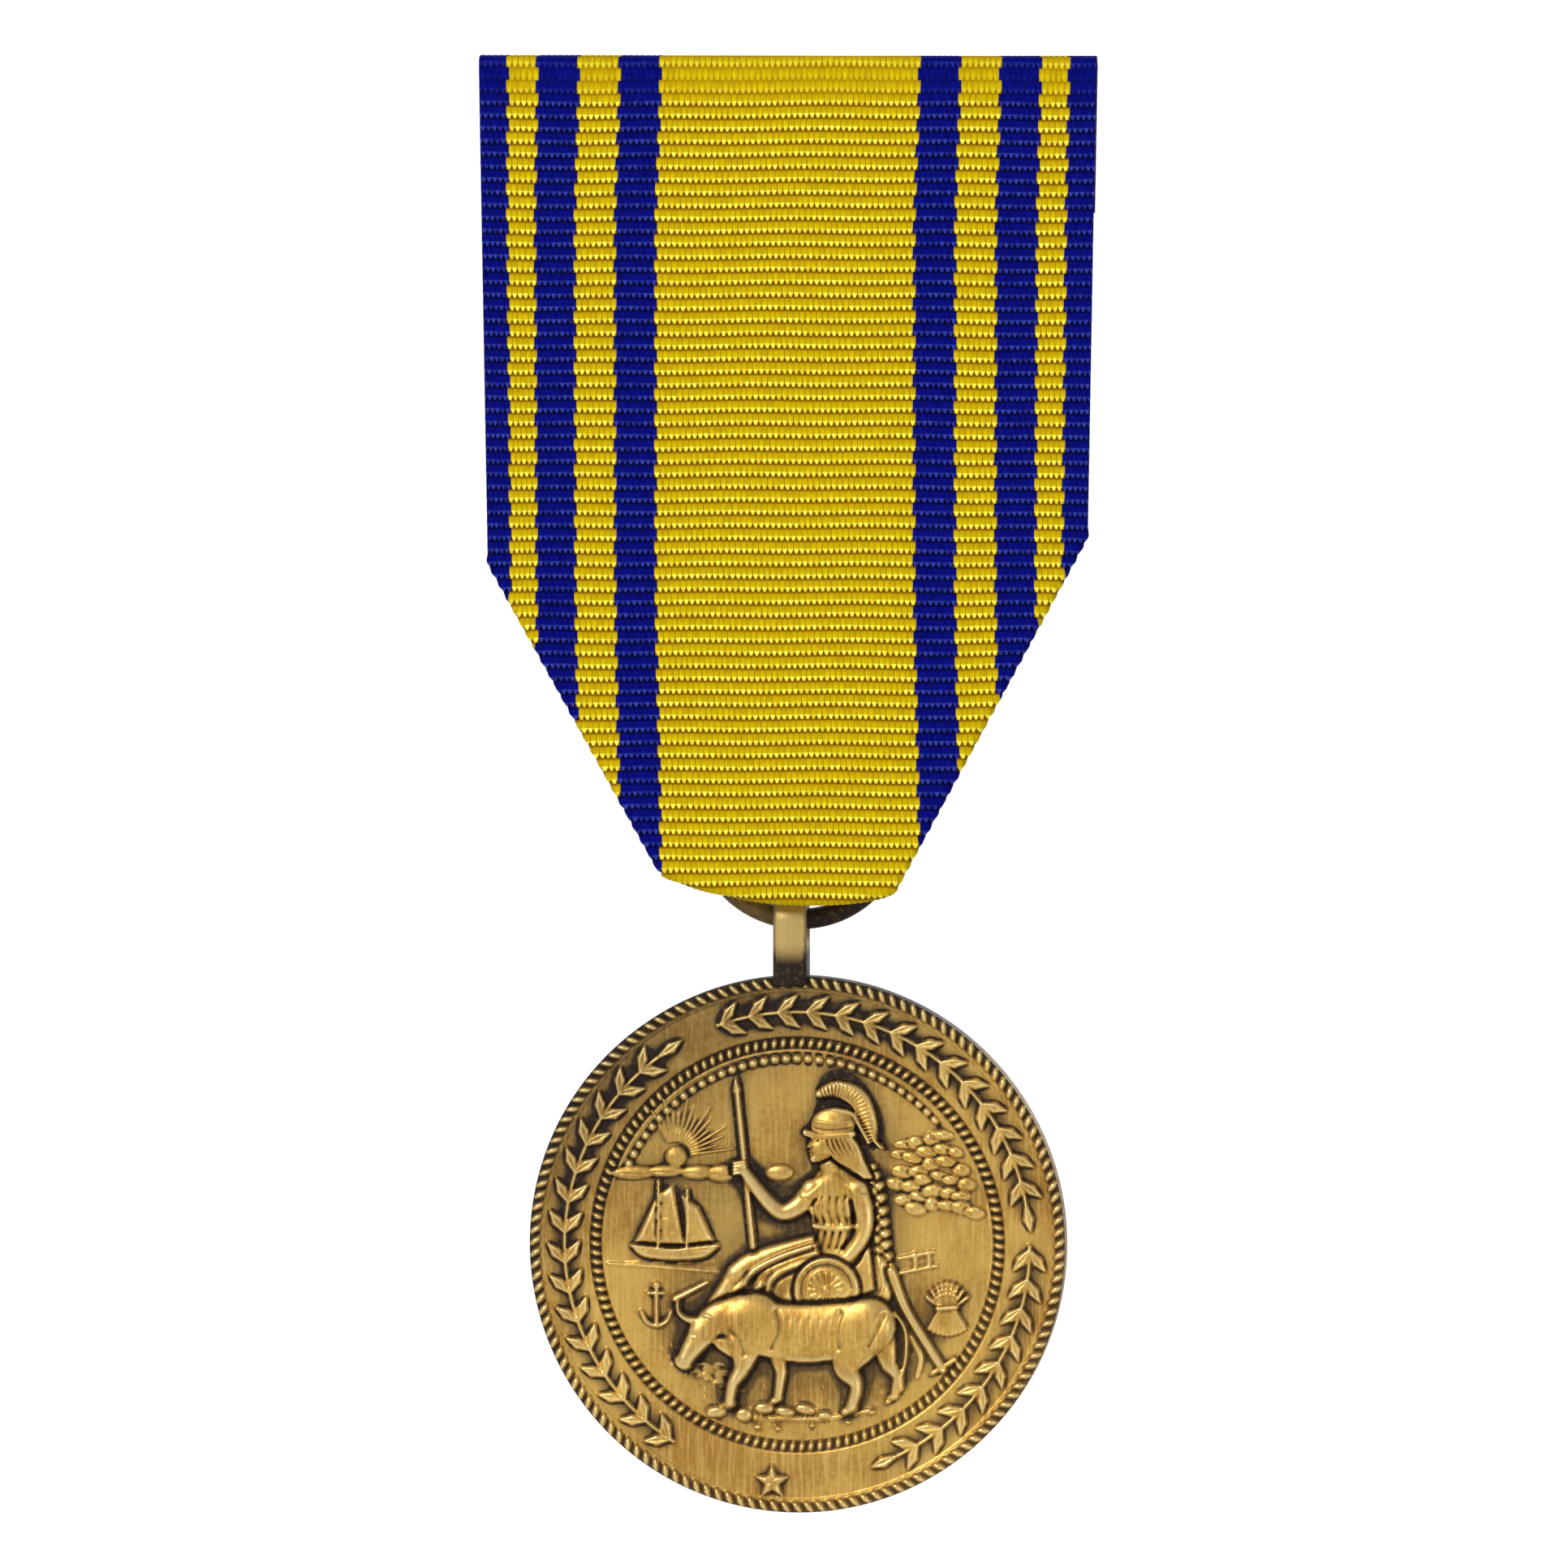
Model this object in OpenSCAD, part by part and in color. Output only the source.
// A full-size campaign-style medal: a folded grosgrain drape on a pin-back brooch,
// a suspension ring held by the drape's tongue, and a struck bronze medallion.
// It hangs as worn: +Z is up, the obverse faces -Y, and the origin is on the pin stem's axis.

/* [Ribbon] */
// Width of the drape at its top edge
drape_top_w = 35.8; // [34:0.1:38]
// Width of the drape at the shoulders, where the side folds begin
drape_shoulder_w = 34.8; // [32:0.1:36]
// Height of the drape from its top edge to its bottom lip
drape_h = 49.2; // [45:0.2:56]
// Height of the top edge above the pin stem
drape_rise = 5.6; // [5.4:0.1:6.5]
// Drop from the top edge to the left shoulder
left_drop = 29.6; // [27:0.1:32]
// Drop from the top edge to the right shoulder
right_drop = 27.9; // [27:0.1:32]
// Thickness of one layer of ribbon
ribbon_t = 0.4; // [0.3:0.05:0.45]
// Width of the tongue that holds the ring
tongue_w = 6.4; // [5:0.1:7]

/* [Brooch] */
// Length of the pin bar
bar_l = 33; // [31.5:0.5:34]
// Height of the pin bar
bar_h = 5.2; // [5:0.1:6]
// Distance from the pin stem's axis to the back of the pin bar
stem_gap = 1.6; // [1.6:0.05:1.9]
// Radius of the pin stem
stem_r = 0.42; // [0.38:0.01:0.45]

/* [Suspension] */
// Outer diameter of the suspension ring
ring_d = 12.7; // [12.4:0.1:13.5]
// Diameter of the ring's wire
ring_wire = 1.2; // [1.0:0.05:1.25]
// How far the ring shows below the lip
ring_show = 1.6; // [1.4:0.1:2]
// Width of the medallion's loop
loop_w = 1.95; // [1.6:0.05:2.4]
// Thickness of the loop's strap
loop_t = 0.6; // [0.5:0.05:0.65]

/* [Medallion] */
// Diameter of the medallion
medal_d = 31.2; // [30:0.1:33]
// Thickness of the medallion at its rim
medal_t = 2.8; // [2.5:0.1:3]
// Depth of the field below the rim on each face
field_depth = 0.5; // [0.4:0.05:0.6]
// Radius of the inner bead ring
bead_ring_r = 11.75; // [11:0.05:12.2]

/* [Hidden] */
$fn = 64;

gap = 0.05;                              // between two layers that touch
play = 0.03;                             // between a shaft and its bore
pitch = ribbon_t + gap;                  // from one layer of ribbon to the next

// The back of each layer at the top, from the pin stem forwards
bar_t = 0.7;
carrier_t = 0.6;
bar_back = -stem_gap;
hem_back = bar_back - bar_t - gap;
carrier_back = hem_back - pitch;
front_back = carrier_back - carrier_t - gap;

// The back of each layer at the bottom, from the face backwards, and the ring's plane
wing_back = front_back + pitch;
tongue_back = wing_back + pitch;
loop_slack = 0.2;                        // between the wire and the loop, all round
tongue_clear = 0.4;                      // between the tongue and the loop
tail_clear = 0.15;                       // between the wire and the tongue's tail
loop_d = ring_wire + 2 * (loop_t + loop_slack);
ring_y = tongue_back + tongue_clear + loop_d / 2;
tail_back = ring_y + ring_wire / 2 + tail_clear + ribbon_t;

// Heights, and the small sideways offsets with which the pieces hang
top_z = drape_rise;
lip_z = top_z - drape_h;
ring_x = 0.5;
ring_r = (ring_d - ring_wire) / 2;
ring_z = lip_z - ring_show + ring_d / 2;
loop_x = 0;
swing_z = ring_z - ring_r;               // the wire's lowest point, on which the loop swings
neck = 3.3;                              // from there to the medallion's top edge
medal_x = 0.4;
medal_r = medal_d / 2;
medal_z = swing_z - neck - medal_r;

// A plate in X and Z, from y_back forwards by t
module sheet(y_back, t)
    translate([0, y_back, 0]) rotate([90, 0, 0]) linear_extrude(t) children();

// A cylinder along X, centred on its own length
module rod_x(r, l) rotate([0, 90, 0]) cylinder(r = r, h = l, center = true);

// ---------------------------------------------------------------- brooch

carrier_h = 8.2;
carrier_end = 1.2;                       // the drape's overhang past each end of the carrier
rivet_r = 0.6;
rivet_x = 8;
rivet_head = 0.3;
rivet_edge = [0.15, 0.45];               // how far a head stands out, at its top and at the bar
module rivet_holes() for (s = [-1, 1]) translate([s * rivet_x, 0]) circle(r = rivet_r + play / 3);

// Stiff plate inside the top fold
module carrier_plate()
    color("silver")
        sheet(carrier_back, carrier_t)
            difference() {
                translate([carrier_end - drape_top_w / 2, fold_z - carrier_h])
                    square([drape_top_w - 2 * carrier_end, carrier_h]);
                rivet_holes();
            }

// Bar behind the hem, which carries the hinge and the catch
module pin_bar()
    color("silver")
        sheet(bar_back, bar_t)
            difference() {
                union() {
                    square([bar_l - bar_h, bar_h], center = true);
                    for (s = [-1, 1]) translate([s * (bar_l - bar_h) / 2, 0]) circle(d = bar_h);
                }
                rivet_holes();
            }

// Two rivets through the bar, the hem and the carrier
module bar_rivets()
    color("silver")
        for (s = [-1, 1])
            translate([s * rivet_x, 0, 0]) rotate([90, 0, 0]) {
                translate([0, 0, -bar_back]) cylinder(r = rivet_r, h = bar_back - front_back - gap);
                translate([0, 0, -bar_back - rivet_head])
                    cylinder(r1 = rivet_r + rivet_edge[0], r2 = rivet_r + rivet_edge[1], h = rivet_head);
            }

// Hinge: a foot with two ears, a rivet along Z through them, and the pin's eye between them
pin_reach = 13.5;                        // from the middle to the rivet, and to the catch
ear_t = 0.5;
ear_r = 1.0;
eye_r = 1.2;
eye_h = 1.1;
ear_gap = eye_h + 2 * play;
hinge_r = 0.4;
foot_t = 0.35;
foot_h = 3.6;
hinge_foot_l = 3.2;
hinge_head = [0.75, 0.45];               // radii of the rivet's head, at the ear and at its top
module hinge_bracket()
    color("silver")
        translate([-pin_reach, 0, 0])
            difference() {
                union() {
                    translate([-hinge_foot_l / 2, bar_back, -foot_h / 2])
                        cube([hinge_foot_l, foot_t, foot_h]);
                    for (s = [-1, 1])
                        translate([0, 0, s * (ear_gap + ear_t) / 2]) {
                            cylinder(r = ear_r, h = ear_t, center = true);
                            translate([-ear_r, bar_back + foot_t / 2, -ear_t / 2])
                                cube([2 * ear_r, stem_gap - foot_t / 2, ear_t]);
                        }
                }
                cylinder(r = hinge_r + play / 3, h = foot_h + 1, center = true);
            }

module hinge_rivet()
    color("silver")
        translate([-pin_reach, 0, 0]) {
            cylinder(r = hinge_r, h = ear_gap + 2 * ear_t, center = true);
            for (s = [0, 1]) mirror([0, 0, s])
                translate([0, 0, ear_gap / 2 + ear_t])
                    cylinder(r1 = hinge_head[0], r2 = hinge_head[1], h = rivet_head);
        }

// Pin: a flat eye, a round stem, and a long taper that lies in the catch
stem_end = 11.4;
tip_r = 0.05;
tip_x = 16.4;
module pin_stem()
    color("silver")
        difference() {
            union() {
                translate([-pin_reach, 0, 0]) cylinder(r = eye_r, h = eye_h, center = true);
                translate([-pin_reach, 0, 0]) rotate([0, 90, 0])
                    cylinder(r = stem_r, h = pin_reach + stem_end);
                translate([stem_end, 0, 0]) rotate([0, 90, 0])
                    cylinder(r1 = stem_r, r2 = tip_r, h = tip_x - stem_end);
            }
            translate([-pin_reach, 0, 0])
                cylinder(r = hinge_r + play, h = foot_h + 1, center = true);
        }

// Catch: two open cheeks on a foot, and a roller that turns in them to close the slot
catch_l = 3.4;
cheek_t = 0.7;
cheek_r = 1.5;
journal_r = 1.0;
slot_w = 1.15;
catch_foot_l = 4.2;
cheek_foot = [0.9, 2.2];                 // depth and height of the web from a cheek to the foot
module open_slot() translate([-catch_l, 0, -slot_w / 2]) cube([2 * catch_l, 3 * cheek_r, slot_w]);

module catch_body()
    color("silver")
        translate([pin_reach, 0, 0])
            difference() {
                union() {
                    translate([-catch_foot_l / 2, bar_back, -foot_h / 2])
                        cube([catch_foot_l, foot_t, foot_h]);
                    for (s = [-1, 1])
                        translate([s * (catch_l - cheek_t) / 2, 0, 0]) {
                            rod_x(cheek_r, cheek_t);
                            translate([-cheek_t / 2, bar_back, -cheek_foot[1] / 2])
                                cube([cheek_t, cheek_foot[0], cheek_foot[1]]);
                        }
                }
                rod_x(journal_r + play, catch_l + 2);
                open_slot();
            }

drum_r = 1.2;
bore_r = 0.6;
tab_a = -62;                             // the tab's direction, from +Y towards -Z
tab_l = 1.7;
tab_w = 1.0;
tab_t = 0.6;
module catch_roller()
    color("silver")
        translate([pin_reach, 0, 0])
            difference() {
                union() {
                    rod_x(journal_r, catch_l);
                    rod_x(drum_r, catch_l - 2 * cheek_t - 2 * play);
                    rotate([tab_a, 0, 0])
                        translate([-tab_w / 2, drum_r - tab_t / 2, -tab_t / 2])
                            cube([tab_w, tab_l, tab_t]);
                }
                rod_x(bore_r, catch_l + 2);
                open_slot();
            }

// ---------------------------------------------------------------- ribbon

// Corners of the visible face: the shoulders, and the ends of the bottom lip
shoulder = [[-drape_shoulder_w / 2, top_z - left_drop], [drape_shoulder_w / 2, top_z - right_drop]];
lip_end = [[-7.4, lip_z + 1.7], [6.15, lip_z + 0.6]];
bow_steps = 8;
function lip_point(t) =
    let (chord = lip_end[0] + (lip_end[1] - lip_end[0]) * t,
         drop = (lip_end[0][1] + lip_end[1][1]) / 2 - lip_z)
    [chord[0], chord[1] - drop * sin(180 * t)];

// The strip rolls over the carrier's top edge, from the face's front to the hem's back
fold_r = (hem_back - front_back + ribbon_t) / 2;
fold_y = hem_back - fold_r;
fold_z = top_z - fold_r;
hem_l = 8.4;

module ribbon_front()
    color("gold")
        sheet(front_back, ribbon_t)
            polygon(concat([[-drape_top_w / 2, fold_z], shoulder[0]],
                           [for (i = [0:bow_steps]) lip_point(i / bow_steps)],
                           [shoulder[1], [drape_top_w / 2, fold_z]]));

module ribbon_top_fold()
    color("gold") {
        translate([-drape_top_w / 2, 0, 0]) rotate([90, 0, 90])
            linear_extrude(drape_top_w)
                translate([fold_y, fold_z])
                    difference() {
                        circle(r = fold_r);
                        circle(r = fold_r - ribbon_t);
                        translate([-fold_r - 1, -2 * fold_r]) square([2 * fold_r + 2, 2 * fold_r]);
                    }
        sheet(hem_back, ribbon_t)
            difference() {
                translate([-drape_top_w / 2, fold_z - hem_l]) square([drape_top_w, hem_l]);
                rivet_holes();
            }
    }

// A corner of the strip, folded behind the face along its side fold.
// The strip's own edge is vertical, so the folded edge is its mirror image in the fold line.
function mirrored(p, a, b) = let (d = (b - a) / norm(b - a)) a + 2 * ((p - a) * d) * d - (p - a);
wing_cut = 0.8;                          // height above the lip at which each corner was trimmed
wing_slip = 0.15;                        // how far each wing lies inside the fold's silhouette
wing_ends = [-0.3, 0.4];                 // how far its ends lie from the shoulder and the lip
module wing(i) {
    a = shoulder[i];
    b = lip_end[i];
    slip = (i == 0 ? 1 : -1) * wing_slip;
    color("gold") sheet(wing_back, ribbon_t)
        polygon([a + [slip, wing_ends[0]], b + [slip, wing_ends[1]],
                 mirrored([a[0], b[1] + wing_cut], a, b)]);
}
module ribbon_wing_left() wing(0);
module ribbon_wing_right() wing(1);

// The strip turns up behind the lip, narrows, goes back through the ring and up to its seam
pass_z = ring_z + 3.4;                   // underside of the stretch that lies in the ring
seam_z = ring_z + ring_d / 2 + 5.5;
module ribbon_tongue()
    color("gold") {
        sheet(tongue_back, ribbon_t)
            polygon([[ring_x - tongue_w / 2, pass_z + ribbon_t], lip_end[0] + [0.9, 0.8],
                     [-2, lip_z + 0.55], [2, lip_z + 0.5], lip_end[1] + [-0.9, 0.6],
                     [ring_x + tongue_w / 2, pass_z + ribbon_t]]);
        translate([ring_x - tongue_w / 2, tongue_back - ribbon_t, pass_z])
            cube([tongue_w, tail_back - tongue_back + ribbon_t, ribbon_t]);
        sheet(tail_back, ribbon_t)
            translate([ring_x - tongue_w / 2, pass_z]) square([tongue_w, seam_z - pass_z]);
    }

// Two rows of stitches through the end of the tongue
thread_r = 0.15;
stitch_l = 0.9;
stitch_pitch = 1.25;
stitch_rows = [1.2, 2.6];                // below the tongue's top end
module ribbon_stitches()
    color("gold")
        for (drop = stitch_rows, i = [-2:2])
            translate([ring_x + i * stitch_pitch, tail_back + thread_r + 0.01, seam_z - drop])
                rod_x(thread_r, stitch_l);

// ---------------------------------------------------------------- suspension

module suspension_ring()
    color("peru")
        translate([ring_x, ring_y, ring_z]) rotate([90, 0, 0])
            rotate_extrude($fn = 96) translate([ring_r, 0]) circle(d = ring_wire, $fn = 32);

// A strap bent round the ring, with both ends closed together in the medallion's edge
loop_sink = 0.6;
eye_drop = 0.55;                         // how far the eye is longer than it is wide
module loop_outline(d, down)
    union() {
        circle(d = d);
        translate([-d / 2, -down]) square([d, down]);
    }
module suspension_loop()
    color("peru")
        translate([loop_x - loop_w / 2, ring_y, swing_z]) rotate([90, 0, 90])
            linear_extrude(loop_w)
                difference() {
                    loop_outline(loop_d, neck + loop_sink);
                    circle(d = loop_d - 2 * loop_t);
                    translate([0, -eye_drop]) circle(d = loop_d - 2 * loop_t);
                    translate([loop_t - loop_d / 2, -eye_drop])
                        square([loop_d - 2 * loop_t, eye_drop]);
                }

// ---------------------------------------------------------------- medallion

rope_w = 0.85;
chamfer = 0.2;
fit = 0.02;                              // between the loop and its notch in the edge
half_t = medal_t / 2;
field = half_t - field_depth;

// Half section of the planchet about its own axis, with the obverse up
module planchet_section()
    polygon([[0, -field], [medal_r - 1.4 * rope_w, -field], [medal_r - rope_w, -half_t],
             [medal_r - chamfer, -half_t], [medal_r, chamfer - half_t], [medal_r, half_t - chamfer],
             [medal_r - chamfer, half_t], [medal_r - rope_w, half_t],
             [medal_r - 1.1 * rope_w, field], [0, field]]);

// The struck design in outline: the bead ring, the band's three sprays, the star and the scene
spray_r = 13.6;
spray_w = 1.7;
sprays = [[-148, -34], [-20, 80], [90, 155]];
star_a = -174;
star_r = 0.95;
relief_h = 0.35;
bead_w = 0.5;
figure_h = 0.75;
ox_h = 0.85;
leg_h = 0.5;
small_h = 0.4;
module star()
    polygon([for (i = [0:9]) (i % 2 == 0 ? star_r : 0.45 * star_r) * [sin(36 * i), cos(36 * i)]]);
module arc_band(r, w, h, span)
    rotate([0, 0, 90 - span[1]])
        rotate_extrude(angle = span[1] - span[0], $fn = 96) translate([r - w / 2, 0]) square([w, h]);
module medal_relief() {
    arc_band(bead_ring_r, bead_w, relief_h, [0, 360]);
    for (span = sprays) arc_band(spray_r, spray_w, 0.6 * relief_h, span);
    rotate([0, 0, -star_a]) translate([0, spray_r]) linear_extrude(relief_h) star();
    // the seated figure, the ox below it, and the boat and the sheaf beside it
    linear_extrude(figure_h)
        polygon([[-1.2, 7.6], [2.2, 9], [3.6, 6.4], [5, -1.5], [0.5, -1],
                 [-5.6, -5.6], [-2, -1.4], [-0.8, 2.6]]);
    translate([0.7, -4.8]) linear_extrude(ox_h) scale([1.9, 1]) circle(r = 2.6);
    for (x = [-3.8, -1.6, 2.6, 5.0]) translate([x, -8.8]) linear_extrude(leg_h) square([1, 3.4]);
    translate([-7.2, 1.6]) linear_extrude(small_h) circle(r = 1.9);
    translate([8.6, -3.4]) linear_extrude(small_h) circle(r = 1.4);
}

module medallion()
    color("peru")
        translate([medal_x, ring_y, medal_z]) rotate([90, 0, 0])
            difference() {
                union() {
                    rotate_extrude($fn = 128) planchet_section();
                    translate([0, 0, field - 0.01]) medal_relief();
                }
                translate([loop_x - medal_x - loop_w / 2 - fit, medal_r - loop_sink - 2 * fit,
                           -loop_d / 2 - fit])
                    cube([loop_w + 2 * fit, 2, loop_d + 2 * fit]);
            }

carrier_plate();
pin_bar();
bar_rivets();
hinge_bracket();
hinge_rivet();
pin_stem();
catch_body();
catch_roller();
ribbon_front();
ribbon_top_fold();
ribbon_wing_left();
ribbon_wing_right();
ribbon_tongue();
ribbon_stitches();
suspension_ring();
suspension_loop();
medallion();
